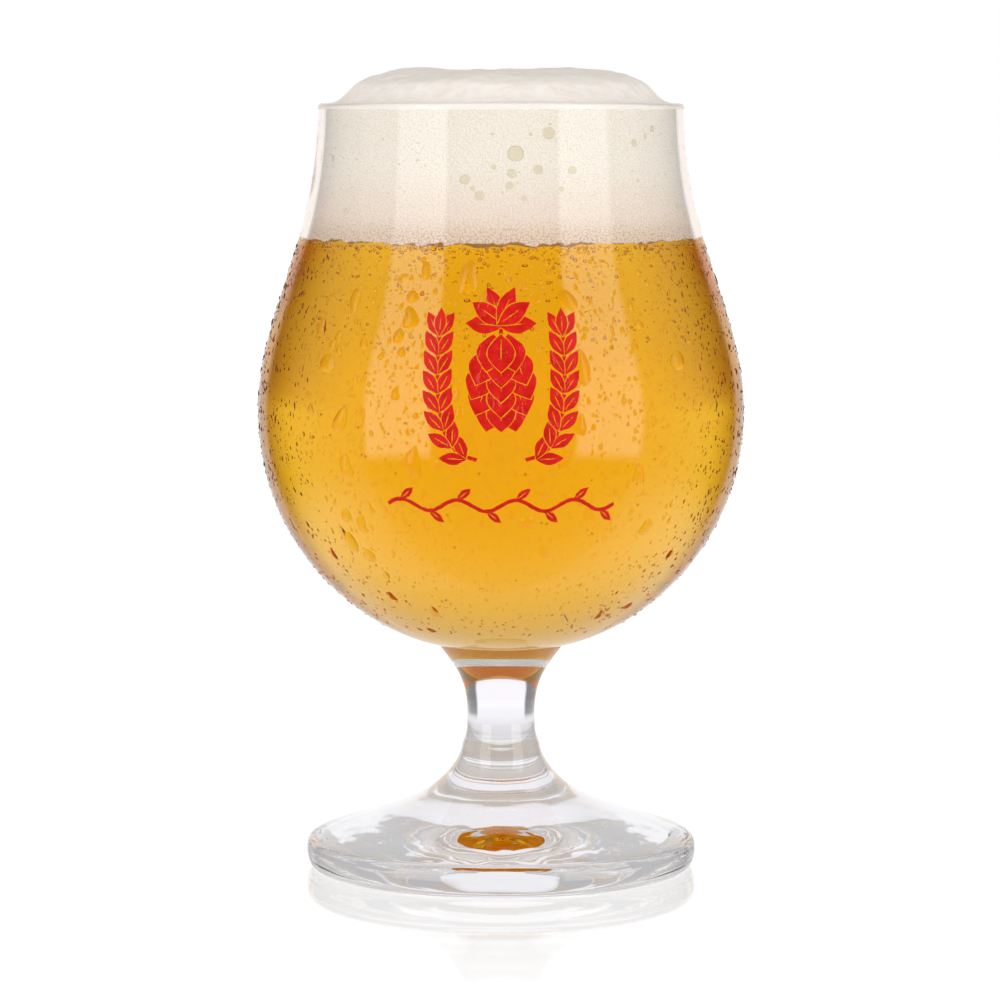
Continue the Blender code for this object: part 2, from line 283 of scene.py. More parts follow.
# Fineness
ROUND_STEPS = 160
CURVE_POINTS = 48
EDGE_POINTS = 10
LEAF_POINTS = 12
BOW_POINTS = 32
WAVE_POINTS = 24
FOAM_BUBBLE_MESH = (20, 6)
BEER_BUBBLE_MESH = (8, 5)
PRINT_MESH_SIZE = 0.0012
MERGE_DISTANCE = 0.00001
SLOPE_STEP = 0.0002
ON_AXIS = 1e-9
SHARP_EDGE = math.radians(35)
SEED = 7
BOUNCES = 32

# Studio as seen through the glass: tones of panels, gaps and corners as shares of the backdrop's brightness
WHITE = (1.0, 1.0, 1.0, 1.0)
PANEL = (0.9, 0.9, 0.9, 1.0)
GAP = (0.3, 0.3, 0.3, 1.0)
LILAC = (0.96, 0.94, 1.0, 1.0)
PALE = (0.80, 0.79, 0.82, 1.0)
CORNER = (0.70, 0.56, 0.46, 1.0)
FLOOR_CORNER = (0.54, 0.38, 0.27, 1.0)
DARK_CORNER = (0.17, 0.17, 0.18, 1.0)
# Painted shadow: the beige of the floor seen through the glass close to it
FLOOR_SHADOW_TONE = (0.64, 0.57, 0.51, 1.0)
MATT_FLOOR = (0.85, 0.85, 0.85, 1.0)
# Degrees from the front: tones up to the corner, where it starts, and where it ends and the backdrop starts
PANEL_STOPS = ((0, PANEL), (22, PANEL), (34, GAP), (62, GAP), (74, PANEL), (92, PANEL))
CORNER_START = 102
CLEAR_BACKDROP_STOPS = (144, 149)
DRINK_BACKDROP_STOPS = (127, 143)
FLOOR_BACKDROP_STOPS = (138, 164)
BACKDROP = 1.15
CLEAR_BACKDROP = 1.05
GUIDED_SHARE = 0.5
OVERHEAD = 0.72
OVERHEAD_RISE = (12, 40)
# More surfaces than this are passed only in sight through the filled bowl
DRINK_SURFACES = 3.5
# Light that has been mirrored more often than this was led along inside the glass
GUIDED_MIRRORS = 0.5

# Studio as mirrors see it: degrees from the front or up where a light starts, is full, still is and ends
BOX_TURN = (33, 36.5, 65.5, 71)
BOX_RISE = (-18.5, -12.5, 48, 60)
BOX_LEVEL = 2.2
BOX_TWIST = math.radians(1.2)
SIDE_TURN = (66, 72, 100, 130)
SIDE_LEVEL = 0.3
BACKDROP_TURN = (141, 151, 180, 181)
BACKDROP_RISE = (-30, -14, 90, 91)
BACKDROP_MIRRORED = 0.65
BACKDROP_FULL = (158, 172)
EDGE_TURN = (132, 140, 158, 170)
EDGE_RISE = (-3, 2, 15, 30)
EDGE_TONE = (1.7, 1.3, 0.9, 1.0)
TABLE_RISE = (-15, -35)
TABLE_FRONT = (0.9, -0.7)
TABLE_LEVEL = 1.0
MIRROR_DARK = 0.03
# A glowing ring above the foot, seen only by mirrors: a painted reflection of the lit table
CARD_Z = SEAM_Z + 0.004
CARD_HOLE = 0.0066
CARD_REACH = (-2 * FOOT_RADIUS, FOOT_RADIUS)
CARD_FRONT = 0.62
FILL = 0.55

# Floor: distances from the glass over which one look gives way to the next, and its levels
FLOOR_HALF = 4.0
FLOOR_BELOW = 0.0002
# Seen through the glass, the floor near it is painted beige and dimmer, a painted shadow
FLOOR_SHADOW_REACH = (0.030, 0.060)
CLEAR_REACH = (0.11, 0.24)
DRINK_REACH = (0.06, 0.20)
BACKDROP_REACH = (0.40, 1.50)
DIM_REACH = (0.15, 0.80)
CLEAR_LEVEL_REACH = (0.03, 0.20)
OPEN_REACH = (0.10, 0.60)
FLOOR_THROUGH_SHADE = 0.88
CLEAR_FLOOR_SHADE = 0.84
OPEN_FLOOR = (1.12, 1.25)
GLOW_SHARE = (0.8, 1.0)
MIRROR_REACH = (FOOT_RADIUS, 0.14)
MIRROR_SHARE = 0.42
MIRROR_ROUGHNESS = 0.04

# Lamps, left and right of the camera
LAMP_TURN = math.radians(51)
LAMP_RISE = math.radians(12)
LAMP_DISTANCE = 0.6
LAMP_SIZE = (0.3, 0.6)
LEFT_LAMP = 2.0
RIGHT_LAMP = 2.1

# Camera, where the photograph's outline puts it
LENS = 148.6
SENSOR = 36.0
CAMERA_AT = (-0.00018, -0.760, 0.1401)
CAMERA_PITCH = math.radians(5.42)
CAMERA_NEAR = 0.01


# Outlines: lists of (radius, height)


def polar(length, angle):
    return np.array((length * math.cos(angle), length * math.sin(angle)))


def curve(start, start_handle, end_handle, end, points=CURVE_POINTS):
    """Points along one Bezier stretch of an outline."""
    knots = [Vector((*point, 0)) for point in (start, start_handle, end_handle, end)]
    return [(p.x, p.y) for p in interpolate_bezier(*knots, points)]


def joined(*stretches):
    """One outline from stretches that each start where the last one ended."""
    outline = list(stretches[0])
    for stretch in stretches[1:]:
        outline += stretch[1:]
    return outline


def bowl_wall(rim_radius, belly_radius):
    return curve(
        (rim_radius, RIM_Z),
        (rim_radius, RIM_Z - NECK_RUN),
        (belly_radius, BELLY_Z + SHOULDER_RUN),
        (belly_radius, BELLY_Z),
    )


def outside():
    """The outside of the glass, from the rim down to the ring that it stands on."""
    knuckle = np.array((KNUCKLE_RADIUS, KNUCKLE_Z))
    waist = (WAIST_RADIUS, WAIST_Z)
    edge = np.array((FOOT_RADIUS - FOOT_EDGE_ROUND, FOOT_EDGE_TOP))
    widest = (FOOT_RADIUS, FOOT_EDGE_WIDEST)
    ring = (FOOT_RADIUS - FOOT_EDGE_ROUND, 0)
    underside = curve(
        (BELLY_RADIUS, BELLY_Z),
        (BELLY_RADIUS, BELLY_Z - UNDERSIDE_RUN),
        knuckle + polar(TOE_RUN, TOE_ANGLE),
        knuckle,
    )
    stem = curve(
        knuckle,
        knuckle - polar(KNUCKLE_FLARE, KNUCKLE_ANGLE),
        (WAIST_RADIUS, WAIST_Z + WAIST_RUN),
        waist,
    )
    flare = curve(
        waist,
        (WAIST_RADIUS, WAIST_Z - ROOT_RUN),
        edge + polar(FOOT_SPREAD, math.pi - FOOT_SLOPE),
        edge,
    )
    brow = curve(
        edge,
        edge + polar(EDGE_FULLNESS * FOOT_EDGE_ROUND, -FOOT_SLOPE),
        (FOOT_RADIUS, FOOT_EDGE_WIDEST + EDGE_FULLNESS * (FOOT_EDGE_TOP - FOOT_EDGE_WIDEST)),
        widest,
        EDGE_POINTS,
    )
    sole = curve(
        widest,
        (FOOT_RADIUS, (1 - EDGE_FULLNESS) * FOOT_EDGE_WIDEST),
        (FOOT_RADIUS - (1 - EDGE_FULLNESS) * FOOT_EDGE_ROUND, 0),
        ring,
        EDGE_POINTS,
    )
    return joined(bowl_wall(RIM_RADIUS, BELLY_RADIUS), underside, stem, flare, brow, sole)


def inside():
    """The inside of the bowl, from the rim to the middle of its floor."""
    belly = BELLY_RADIUS - BELLY_WALL
    hollow = curve((belly, BELLY_Z), (belly, BELLY_Z - UNDERSIDE_RUN), (FLOOR_RUN, FLOOR_Z), (0, FLOOR_Z))
    return joined(bowl_wall(RIM_RADIUS - RIM_WALL, belly), hollow)


def hand_made(outline):
    """The outline with the bead of the seam on the foot and the press rings of the foot."""
    points = np.array(outline)
    radius, height = points.T
    bead = SEAM_BEAD * np.exp(-(((height - SEAM_Z) / SEAM_BEAD_WIDTH) ** 2))
    on_foot = np.clip((SEAM_Z - height) / SEAM_Z, 0, 1) * (radius < FOOT_RADIUS - 2 * FOOT_EDGE_ROUND)
    ripple = RIPPLE * on_foot * np.sin(2 * math.pi * radius / RIPPLE_LENGTH)
    points[:, 0] += bead
    points[:, 1] += ripple
    return [tuple(point) for point in points]


OUTSIDE = hand_made(outside())
INSIDE = inside()


def radius_at(outline, z):
    radii, heights = np.array(outline).T
    return np.interp(z, heights[::-1], radii[::-1])


def between(outline, top, bottom):
    """The stretch of a falling outline between two heights."""
    kept = [point for point in outline if bottom < point[1] < top]
    return [(float(radius_at(outline, top)), top), *kept, (float(radius_at(outline, bottom)), bottom)]


def moved_in(outline, gap):
    """An outline of the inside, moved into the drink by a gap square to the wall."""
    points = np.array(outline)
    along = np.gradient(points, axis=0)
    along[-1] = (-1, 0)
    along /= np.linalg.norm(along, axis=1)[:, None]
    moved = points + gap * np.stack((along[:, 1], -along[:, 0]), axis=1)
    return [(max(radius, 0.0), height) for radius, height in moved]


# Meshes


def linked(data, *unseen_by):
    """A new object in the scene with the name of its data, unseen by some kinds of rays."""
    thing = bpy.data.objects.new(data.name, data)
    bpy.context.scene.collection.objects.link(thing)
    for rays in unseen_by:
        setattr(thing, f"visible_{rays}", False)
    return thing


def new_mesh(name, points, faces, *materials):
    mesh = bpy.data.meshes.new(name)
    mesh.from_pydata(points, [], faces)
    for material in materials:
        mesh.materials.append(material)
    return mesh


def new_piece(mesh, slot, *nodes):
    """Links a mesh as a piece that rides on the glass and stands for some CAD nodes."""
    piece = linked(mesh)
    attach(piece, "root")
    if nodes:
        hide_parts(*nodes)


def turned(name, outline, materials, slot_of=None):
    """A mesh of revolution from an outline, closed where that starts and ends on the axis.

    slot_of gives the material slot of the band below each outline point.
    """
    angles = np.linspace(0, 2 * math.pi, ROUND_STEPS, endpoint=False)
    ring = np.stack((np.cos(angles), np.sin(angles)), axis=1)
    points, rings = [], []
    for radius, height in outline:
        start = len(points)
        if radius < ON_AXIS:
            points.append((0, 0, height))
            rings.append([start] * ROUND_STEPS)
        else:
            points += [(radius * c, radius * s, height) for c, s in ring]
            rings.append(list(range(start, start + ROUND_STEPS)))
    faces, slots = [], []
    for index, (upper, lower) in enumerate(zip(rings, rings[1:])):
        for k in range(ROUND_STEPS):
            n = (k + 1) % ROUND_STEPS
            corners = dict.fromkeys((upper[k], lower[k], lower[n], upper[n]))
            faces.append(tuple(corners))
            slots.append(slot_of(index) if slot_of else 0)
    mesh = new_mesh(name, points, faces, *materials)
    mesh.polygons.foreach_set("material_index", slots)
    mesh.shade_smooth()
    mesh.set_sharp_from_angle(angle=SHARP_EDGE)
    return mesh


# Shader nodes


def add(tree, kind, inputs=None, **settings):
    """A new node with its settings, and its inputs set or linked."""
    node = tree.nodes.new("ShaderNode" + kind)
    for name, value in settings.items():
        setattr(node, name, value)
    for name, value in (inputs or {}).items():
        if isinstance(value, bpy.types.NodeSocket):
            tree.links.new(value, node.inputs[name])
        else:
            node.inputs[name].default_value = value
    return node


def math_node(operation, *values):
    """An operation on numbers and sockets, in the tree that the sockets belong to."""
    tree = next(value.id_data for value in values if isinstance(value, bpy.types.NodeSocket))
    return add(tree, "Math", dict(enumerate(values)), operation=operation).outputs[0]


def times(first, second):
    return math_node("MULTIPLY", first, second)


def smooth_step(value, start, end, low=0.0, high=1.0):
    inputs = {"Value": value, "From Min": start, "From Max": end, "To Min": low, "To Max": high}
    return add(value.id_data, "MapRange", inputs, interpolation_type="SMOOTHSTEP").outputs["Result"]


def mix_colours(share, first, second):
    return add(share.id_data, "Mix", {0: share, 6: first, 7: second}, data_type="RGBA").outputs[2]


def mix_numbers(share, first, second):
    return add(share.id_data, "Mix", {0: share, 2: first, 3: second}).outputs[0]


def mix_shaders(share, first, second):
    return add(share.id_data, "MixShader", {0: share, 1: first.outputs[0], 2: second.outputs[0]})


def place(tree):
    return add(tree, "TexCoord").outputs["Object"]


def axes(vector):
    return add(vector.id_data, "SeparateXYZ", {0: vector}).outputs


def turn_from_front(parts):
    """Angle round the glass from the front, the same to both sides."""
    across = math_node("ABSOLUTE", parts["X"])
    front = times(parts["Y"], -1.0)
    return math_node("ARCTAN2", across, front)


def light_path(tree):
    return add(tree, "LightPath").outputs


def mirror_rays(path):
    """1 for rays that a surface has just mirrored, which refracted rays are not."""
    return math_node("SUBTRACT", path["Is Glossy Ray"], path["Is Transmission Ray"])


def backfacing(tree):
    return add(tree, "NewGeometry").outputs["Backfacing"]


def grain(tree, scale, detail=1.0):
    inputs = {"Vector": place(tree), "Scale": scale, "Detail": detail}
    return add(tree, "TexNoise", inputs).outputs[0]


def bump(height, distance, strength=1.0):
    inputs = {"Height": height, "Distance": distance, "Strength": strength}
    return add(height.id_data, "Bump", inputs).outputs["Normal"]


def tones(value, stops):
    """Colours along a value: places from 0 to 1, each with a colour."""
    node = add(value.id_data, "ValToRGB", {"Fac": value})
    ramp = node.color_ramp
    while len(ramp.elements) < len(stops):
        ramp.elements.new(1.0)
    for element, (position, colour) in zip(ramp.elements, stops):
        element.position = position
        element.color = colour
    return node.outputs["Color"]


def principled(tree, inputs):
    return add(tree, "BsdfPrincipled", inputs)


def new_material(name):
    material = bpy.data.materials.new(name)
    material.use_nodes = True
    material.node_tree.nodes.clear()
    return material, material.node_tree


def end_with(shader, kind="OutputMaterial"):
    return add(shader.id_data, kind, {"Surface": shader.outputs[0]})


def clear_surface(shader, share=1.0, painted_glow_mask=None):
    """Ends a clear material: the shader for sight, and a share of the light let through.

    Where the glow mask is 1, a brown glow is painted in place of light mirrored inside the piece: a painted
    reflection of the drink.
    """
    tree = shader.id_data
    if painted_glow_mask:
        # Painted reflection: a brown glow that no lamp gives
        painted_glow = add(tree, "Emission", {"Color": PAINTED_DRINK_GLOW})
        shader = mix_shaders(painted_glow_mask, shader, painted_glow)
    passing = add(tree, "BsdfTransparent", {"Color": (share, share, share, 1)})
    path = light_path(tree)
    lamp_rays = math_node("MAXIMUM", path["Is Shadow Ray"], path["Is Diffuse Ray"])
    return end_with(mix_shaders(lamp_rays, shader, passing))


# Tones of the studio through the glass


def panel_tones(turn, corner, backdrop, backdrop_stops):
    """Tone at an angle from the front: panels in front and beside, corners, and the backdrop."""
    corner_end, backdrop_start = backdrop_stops
    stops = (
        *PANEL_STOPS,
        (CORNER_START, corner),
        (corner_end, corner),
        (backdrop_start, backdrop),
        (180, backdrop),
    )
    share = math_node("DIVIDE", turn, math.pi)
    return tones(share, [(degrees / 180, tone) for degrees, tone in stops])


def clear_tones(path, turn):
    """Tone through stem, foot and bare wall, where light led along inside the glass turns pale."""
    panels = panel_tones(turn, DARK_CORNER, LILAC, CLEAR_BACKDROP_STOPS)
    guided = math_node("GREATER_THAN", path["Glossy Depth"], GUIDED_MIRRORS)
    return mix_colours(times(guided, GUIDED_SHARE), panels, PALE)


def drink_tones(turn):
    """Tone through the drink."""
    return panel_tones(turn, CORNER, WHITE, DRINK_BACKDROP_STOPS)


def through_drink(path):
    """1 for sight through the filled bowl, which passes more surfaces than sight through stem or foot."""
    return math_node("GREATER_THAN", path["Transmission Depth"], DRINK_SURFACES)


# Materials


def glass_material(
    name, ior, tone=GLASS_TONE, clear=1.0, frost=0.0, wave_scale=GLASS_WAVE_SCALE, wave=GLASS_WAVE
):
    """Soda glass with slow waves and faint smears, clear or frosted."""
    material, tree = new_material(name)
    smears = grain(tree, SMEAR_SCALE, SMEAR_DETAIL)
    inputs = {
        "Base Color": tone,
        "Transmission Weight": clear,
        "IOR": ior,
        "Roughness": smooth_step(smears, *SMEAR_BLEND, frost, frost + SMEAR_ROUGHNESS),
        "Normal": bump(grain(tree, wave_scale), wave),
    }
    clear_surface(principled(tree, inputs), GLASS_SHADE)
    return material


def seam_material():
    """The fused joints inside the glass, which light passes as if they weren't there."""
    material, tree = new_material("fused_seam")
    end_with(add(tree, "BsdfTransparent"))
    return material


def beer_material():
    """Pale amber beer: its colour is all in its depth."""
    material, tree = new_material("beer")
    inputs = {"Base Color": WHITE, "Transmission Weight": 1.0, "IOR": 1.0, "Roughness": 0.0}
    output = clear_surface(principled(tree, inputs))
    depth = add(tree, "VolumeAbsorption", {"Color": BEER_TONE, "Density": BEER_DENSITY})
    tree.links.new(depth.outputs[0], output.inputs["Volume"])
    return material


def foam_material():
    """Cream foam: a smooth crown, fine cells against the wall, and wet bubbles over the beer."""
    material, tree = new_material("foam")
    parts = axes(place(tree))
    turn = math_node("ARCTAN2", parts["X"], times(parts["Y"], -1.0))
    around = times(turn, RIM_RADIUS)
    unrolled = add(tree, "CombineXYZ", {0: around, 1: parts["Z"]}).outputs[0]
    inputs = {"Vector": unrolled, "Scale": 1 / FOAM_CELL, "Randomness": CELL_RANDOMNESS}
    cells = add(tree, "TexVoronoi", inputs, voronoi_dimensions="2D").outputs["Distance"]
    wrinkles = grain(tree, WRINKLE_SCALE, WRINKLE_DETAIL)
    waves = grain(tree, 1 / FOAM_FRINGE_SIZE, BROWN_WAVE_DETAIL)
    wavy_z = math_node("MULTIPLY_ADD", waves, -BROWN_WAVE, parts["Z"])
    crown = smooth_step(parts["Z"], *CROWN_BLEND)
    damp = smooth_step(parts["Z"], *DAMP_BLEND)
    wet = smooth_step(parts["Z"], *WET_BLEND)
    brown = smooth_step(wavy_z, *BROWN_BLEND)
    side = mix_colours(damp, tones(cells, WALL_TONES), tones(cells, DAMP_TONES))
    side = mix_colours(wet, side, tones(cells, WET_TONES))
    side = mix_colours(brown, side, BROWN_TONE)
    hollows = times(cells, -1.0)
    folds = times(wrinkles, WRINKLE_HEIGHT)
    inputs = {
        "Base Color": mix_colours(crown, side, tones(wrinkles, CROWN_TONES)),
        "Roughness": FOAM_ROUGHNESS,
        "Normal": bump(mix_numbers(crown, hollows, folds), FOAM_BUMP, FOAM_BUMP_STRENGTH),
    }
    end_with(principled(tree, inputs))
    return material


def underside_material():
    """The underside of the foam over the beer: its near-white colour is painted light, brighter than the wet
    foam, standing in for light reaching it through the beer.
    """
    material, tree = new_material("foam_underside")
    inputs = {"Vector": place(tree), "Scale": 1 / FOAM_CELL}
    cells = add(tree, "TexVoronoi", inputs).outputs["Distance"]
    colour = mix_colours(cells, *UNDERSIDE_PAINTED_LIGHT)
    end_with(principled(tree, {"Base Color": colour, "Roughness": FOAM_ROUGHNESS}))
    return material


def bubble_window_material():
    """Large bubbles against the wall, opaque: their darker tone is painted shade, standing in for the dim
    inside of the foam seen through them.
    """
    material, tree = new_material("foam_bubble")
    colour = tones(grain(tree, WINDOW_SCALE, WINDOW_DETAIL), WINDOW_SHADE_TONES)
    end_with(principled(tree, {"Base Color": colour, "Roughness": WINDOW_ROUGHNESS}))
    return material


def water_material():
    """Condensed water, with a painted warm tint standing in for the beer's light in the drops."""
    material, tree = new_material("dew_water")
    inputs = {
        "Base Color": DEW_PAINTED_WARMTH,
        "Transmission Weight": 1.0,
        "IOR": WATER_IOR,
        "Roughness": 0.0,
        "Normal": bump(grain(tree, DEW_WAVE_SCALE), DEW_WAVE),
    }
    # Rays mirrored inside a drop see a painted brown glow, a painted reflection of the drink
    painted_glow_mask = times(mirror_rays(light_path(tree)), backfacing(tree))
    clear_surface(principled(tree, inputs), painted_glow_mask=painted_glow_mask)
    return material


def drop_base_material():
    """Where a drop lies on the glass, water and glass leave no mirror between them."""
    material, tree = new_material("dew_base")
    clear_surface(add(tree, "BsdfRefraction", {"Roughness": 0.0, "IOR": WATER_IOR}))
    return material


def gas_material():
    """Gas in the beer: the thinner side of the skin is inside; its warm tint is painted beer light."""
    material, tree = new_material("beer_bubble")
    inputs = {"Color": GAS_PAINTED_WARMTH, "Roughness": 0.0, "IOR": 1 / BEER_IOR}
    clear_surface(add(tree, "BsdfGlass", inputs))
    return material


def enamel_material():
    """Fired red enamel, a little uneven where the screen left it thin."""
    material, tree = new_material("red_enamel")
    patches = grain(tree, ENAMEL_SCALE, ENAMEL_DETAIL)
    inputs = {
        "Base Color": tones(patches, ENAMEL_TONES),
        "Roughness": smooth_step(patches, *ENAMEL_BLEND, *ENAMEL_ROUGHNESS),
        "Specular IOR Level": ENAMEL_GLOSS,
        "Normal": bump(patches, ENAMEL, ENAMEL_BUMP_STRENGTH),
    }
    end_with(principled(tree, inputs))
    return material


def floor_material():
    """White glossy acrylic: white to the eye, greyer through the glass, where its glow is painted with
    studio tones and a beige shadow near the glass; with a mirror image that fades.
    """
    material, tree = new_material("floor_white")
    path = light_path(tree)
    through = path["Is Transmission Ray"]
    turn = turn_from_front(axes(place(tree)))
    far = add(tree, "VectorMath", {0: place(tree)}, operation="LENGTH").outputs["Value"]
    drink = through_drink(path)

    drink_tone = panel_tones(turn, FLOOR_CORNER, WHITE, FLOOR_BACKDROP_STOPS)
    drink_tone = mix_colours(smooth_step(far, *DRINK_REACH), WHITE, drink_tone)
    at_backdrop = smooth_step(far, *BACKDROP_REACH)
    drink_tone = mix_colours(at_backdrop, drink_tone, drink_tones(turn))
    # Painted shadow on the floor near the glass, as seen through it
    painted_shadow_tone = mix_colours(smooth_step(far, *FLOOR_SHADOW_REACH), FLOOR_SHADOW_TONE, LILAC)
    at_clear = smooth_step(far, *CLEAR_REACH)
    clear_tone = mix_colours(at_clear, painted_shadow_tone, clear_tones(path, turn))
    tone = mix_colours(through, WHITE, mix_colours(drink, clear_tone, drink_tone))

    brighter = smooth_step(far, *DRINK_REACH, 1.0, BACKDROP)
    dimmer = smooth_step(far, *DIM_REACH, FLOOR_THROUGH_SHADE, 1.0)
    drink_level = times(brighter, dimmer)
    clear_level = smooth_step(far, *CLEAR_LEVEL_REACH, CLEAR_FLOOR_SHADE, CLEAR_BACKDROP)
    through_level = mix_numbers(drink, clear_level, drink_level)
    open_level = smooth_step(far, *OPEN_REACH, *OPEN_FLOOR)
    level = mix_numbers(through, open_level, through_level)

    glow = add(tree, "Emission", {"Color": tone, "Strength": level})
    matt = add(tree, "BsdfDiffuse", {"Color": MATT_FLOOR})
    mirror = add(tree, "BsdfGlossy", {"Color": WHITE, "Roughness": MIRROR_ROUGHNESS})
    seen = math_node("MAXIMUM", path["Is Camera Ray"], through)
    share = times(seen, smooth_step(far, *OPEN_REACH, *GLOW_SHARE))
    fade = smooth_step(far, *MIRROR_REACH, MIRROR_SHARE, 0.0)
    fade = times(fade, path["Is Camera Ray"])
    end_with(mix_shaders(fade, mix_shaders(share, matt, glow), mirror))
    return material


# The glass and its drink


def make_glass():
    glass = glass_material("clear_glass", GLASS_IOR)
    wet = glass_material("wet_glass", GLASS_IOR / BEER_IOR)
    frosted = glass_material("lip_glass", GLASS_IOR, LIP_TONE, LIP_CLEAR, LIP_ROUGHNESS)
    seam = seam_material()
    lip = RIM_WALL / 2
    lip_centre = (RIM_RADIUS - lip, RIM_Z - lip)
    lip_low = RIM_Z - lip - LIP_APRON
    lip_arc = [tuple(lip_centre + polar(lip, a)) for a in np.linspace(math.pi, 0, EDGE_POINTS)]
    lip_arc.append((radius_at(OUTSIDE, lip_low), lip_low))
    wall_in = [point for point in INSIDE if point[1] < RIM_Z - lip]
    wall_out = [point for point in between(OUTSIDE, RIM_Z, KNUCKLE_Z) if point[1] < lip_low]
    bowl = [*reversed(wall_in), *lip_arc, *wall_out, (0, KNUCKLE_Z)]
    wetted = sum(point[1] < BEER_Z for point in wall_in)
    lip_start = len(wall_in)
    lip_end = lip_start + len(lip_arc) - 1

    def bowl_slot(index):
        if index < wetted:
            return 1
        if lip_start <= index < lip_end:
            return 3
        return 2 if index == len(bowl) - 2 else 0

    mesh = turned("bowl_glass", bowl, (glass, wet, seam, frosted), bowl_slot)
    new_piece(mesh, "glass", "bowl")

    stem = [(0, KNUCKLE_Z), *between(OUTSIDE, KNUCKLE_Z, SEAM_Z), (0, SEAM_Z)]
    ends = (0, len(stem) - 2)
    mesh = turned("stem_glass", stem, (glass, seam), lambda index: int(index in ends))
    new_piece(mesh, "glass", "stem")

    ring = FOOT_RADIUS - FOOT_EDGE_ROUND - FOOT_RING_WIDTH
    middle = (0, FOOT_HOLLOW)
    hollow = curve((ring, 0), (ring / 2, FOOT_HOLLOW), middle, middle)
    foot = [(0, SEAM_Z), *between(OUTSIDE, SEAM_Z, 0), *hollow]
    pressed = glass_material("pressed_glass", GLASS_IOR, wave_scale=PRESSED_WAVE_SCALE, wave=PRESSED_WAVE)
    mesh = turned("foot_glass", foot, (pressed, seam), lambda index: int(index == 0))
    new_piece(mesh, "glass", "foot")


def make_beer():
    side = between(moved_in(INSIDE, BEER_GAP), BEER_Z, FLOOR_Z + BEER_GAP)
    mesh = turned("beer_fill", [(0, BEER_Z), *side], (beer_material(),))
    new_piece(mesh, "beer", "beer")


def make_foam():
    wall = moved_in(INSIDE, FOAM_GAP)
    side = between(wall, RIM_Z, BEER_Z)
    rim = side[0]
    shoulder = np.array((FOAM_SHOULDER_RADIUS, RIM_Z + FOAM_SHOULDER_RISE))
    crown = (0, RIM_Z + FOAM_CROWN_RISE)
    downhill = polar(FOAM_SHOULDER_RUN, -FOAM_SHOULDER_SLOPE)
    top = curve(crown, (FOAM_TOP_RUN, crown[1]), shoulder - downhill, shoulder)
    skirt = curve(shoulder, shoulder + downhill, (rim[0] - FOAM_SKIRT_RUN, rim[1]), rim, EDGE_POINTS)
    outline = [*joined(top, skirt, side), (0, BEER_Z)]
    materials = (foam_material(), underside_material())
    mesh = turned("foam_cap", outline, materials, lambda index: int(index == len(outline) - 2))
    for corner in mesh.vertices:
        corner.co.z += foam_rise(corner.co)
    new_piece(mesh, "foam", "foam_head")


def foam_rise(point):
    """How far the foam's surface lies above its turned shape: a lumpy crown and a wavy lower fringe."""
    across = math.hypot(point.x, point.y)
    if point.z > RIM_Z:
        share = min((point.z - RIM_Z) / FOAM_SHOULDER_RISE, 1)
        aside = math.hypot(abs(point.x) - FOAM_HUMP_ACROSS, point.y)
        hump = FOAM_DIP * (math.exp(-((aside / FOAM_HUMP_RADIUS) ** 2)) - 1)
        lump = FOAM_LUMP * noise.fractal(point / FOAM_LUMP_SIZE, *FOAM_LUMP_NOISE)
        return min(share * (lump + hump), FOAM_HIGH.z - point.z)
    if point.z < BEER_Z + FOAM_FRINGE and across > 0:
        return FOAM_FRINGE * noise.noise(point / FOAM_FRINGE_SIZE)
    return 0.0


def make_foam_bubbles(rng):
    """Flat round bubbles that lean on the wall in the middle of the head."""
    places = []
    for _ in range(FOAM_BUBBLES):
        spread = FOAM_BUBBLE_LARGEST - FOAM_BUBBLE_SMALLEST
        size = FOAM_BUBBLE_SMALLEST + spread * rng.random() ** FOAM_BUBBLE_CROWDING
        height = rng.uniform(BEER_Z + FOAM_BUBBLE_MARGIN, RIM_Z - FOAM_BUBBLE_MARGIN)
        places.append((rng.uniform(0, 2 * math.pi), height, size))
    for across, below, size in FOAM_FRONT_BUBBLES:
        places.append((across / RIM_RADIUS - math.pi / 2, RIM_Z - below, size))
    shapes = []
    wall = moved_in(INSIDE, FOAM_GAP)
    for angle, height, size in places:
        frame_at = surface_frame(wall, angle, height)
        shapes.append(ball(frame_at, (size, size, FOAM_BUBBLE_PROUD), *FOAM_BUBBLE_MESH))
    new_piece(shells("foam_bubbles", shapes, bubble_window_material()), "foam")


# Small round pieces: each is a list of points and a list of faces


def surface_frame(outline, angle, height):
    """The point of a turned surface at an angle and height, with its directions sideways, up and out."""
    radius = radius_at(outline, height)
    rise = radius_at(outline, height + SLOPE_STEP) - radius_at(outline, height - SLOPE_STEP)
    slope = rise / (2 * SLOPE_STEP)
    ring = np.array((math.cos(angle), math.sin(angle), 0))
    sideways = np.array((-ring[1], ring[0], 0))
    upward = slope * ring + np.array((0, 0, 1))
    upward /= np.linalg.norm(upward)
    return radius * ring + np.array((0, 0, height)), sideways, upward, np.cross(sideways, upward)


def ball(frame_at, sizes, segments, rings):
    """A flattened ball: its middle and its three directions, and its half sizes along them."""
    middle, *ways = frame_at
    turns = np.linspace(0, 2 * math.pi, segments, endpoint=False)
    points = [middle + ways[2] * sizes[2]]
    for tilt in np.linspace(0, math.pi, rings + 1)[1:-1]:
        sideways = np.outer(np.cos(turns) * math.sin(tilt) * sizes[0], ways[0])
        upward = np.outer(np.sin(turns) * math.sin(tilt) * sizes[1], ways[1])
        depth = math.cos(tilt) * sizes[2] * ways[2]
        points += list(middle + depth + sideways + upward)
    points.append(middle - ways[2] * sizes[2])
    return np.array(points), dome_faces(segments, rings - 1)


